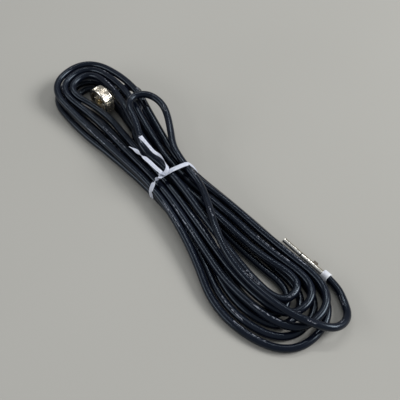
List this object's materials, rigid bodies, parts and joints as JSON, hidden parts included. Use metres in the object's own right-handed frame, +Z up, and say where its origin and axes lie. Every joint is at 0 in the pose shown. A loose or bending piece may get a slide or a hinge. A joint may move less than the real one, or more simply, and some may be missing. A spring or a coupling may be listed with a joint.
{
  "type": "instrument cable",
  "caption": "Black screened instrument cable folded into a flat tied hank, with a screw-ring plug inside the loops at one end and a slim sleeve plug lying along its edge.",
  "frame": {"origin": "under the middle of the whole, on the surface that the hank lies on", "axes": "+X along the hank from the screw-ring plug's end towards the slim plug's end, +Y across it towards the edge where the slim plug lies, +Z up"},
  "size_m": [0.2942, 0.0922, 0.0264],
  "materials": {
    "cable_jacket": "satin black PVC",
    "nickel": "bright nickel plate",
    "spring_steel": "plain steel wire",
    "white_insulator": "off-white moulding",
    "pin_brass": "bright gilt brass",
    "clamp_brass": "turned brass",
    "cable_core": "polyethylene insulation",
    "copper_wire": "bare copper",
    "bright_tube": "bright tinned metal",
    "liner": "white liner",
    "side_block": "brown-grey moulding",
    "white_collar": "translucent white sleeve",
    "tie_ribbon": "white plastic ribbon"
  },
  "bodies": {
    "cable_set": {"cable_hank": "cable_jacket", "cable_small_loop": "cable_jacket", "cable_plug_lead": "cable_jacket", "cable_ring_lead": "cable_jacket", "ring_plug_body": "nickel", "ring_plug_cable_nut": "nickel", "ring_plug_snap_ring": "spring_steel", "tie_wire": "spring_steel", "ring_plug_insulator": "white_insulator", "ring_plug_centre_pin": "pin_brass", "ring_plug_clamp_sleeve": "clamp_brass", "slim_plug_contact": "clamp_brass", "ring_end_core": "cable_core", "slim_end_core": "cable_core", "ring_end_conductor": "copper_wire", "slim_end_conductor": "copper_wire", "slim_plug_front_tube": "bright_tube", "slim_plug_rear_barrel": "bright_tube", "slim_plug_ferrule": "bright_tube", "slim_plug_insulator": "liner", "slim_plug_side_block": "side_block", "white_collar": "white_collar", "tie_ribbon": "tie_ribbon"},
    "screw_ring": {"coupling_ring": "nickel"}
  },
  "joints": [
    {"name": "screw_ring_turn", "type": "hinge", "parent": "cable_set", "child": "screw_ring", "pos_m": [-0.09487, 0.01717, 0.0105], "axis": [0, 1, 0], "continuous": true}
  ]
}
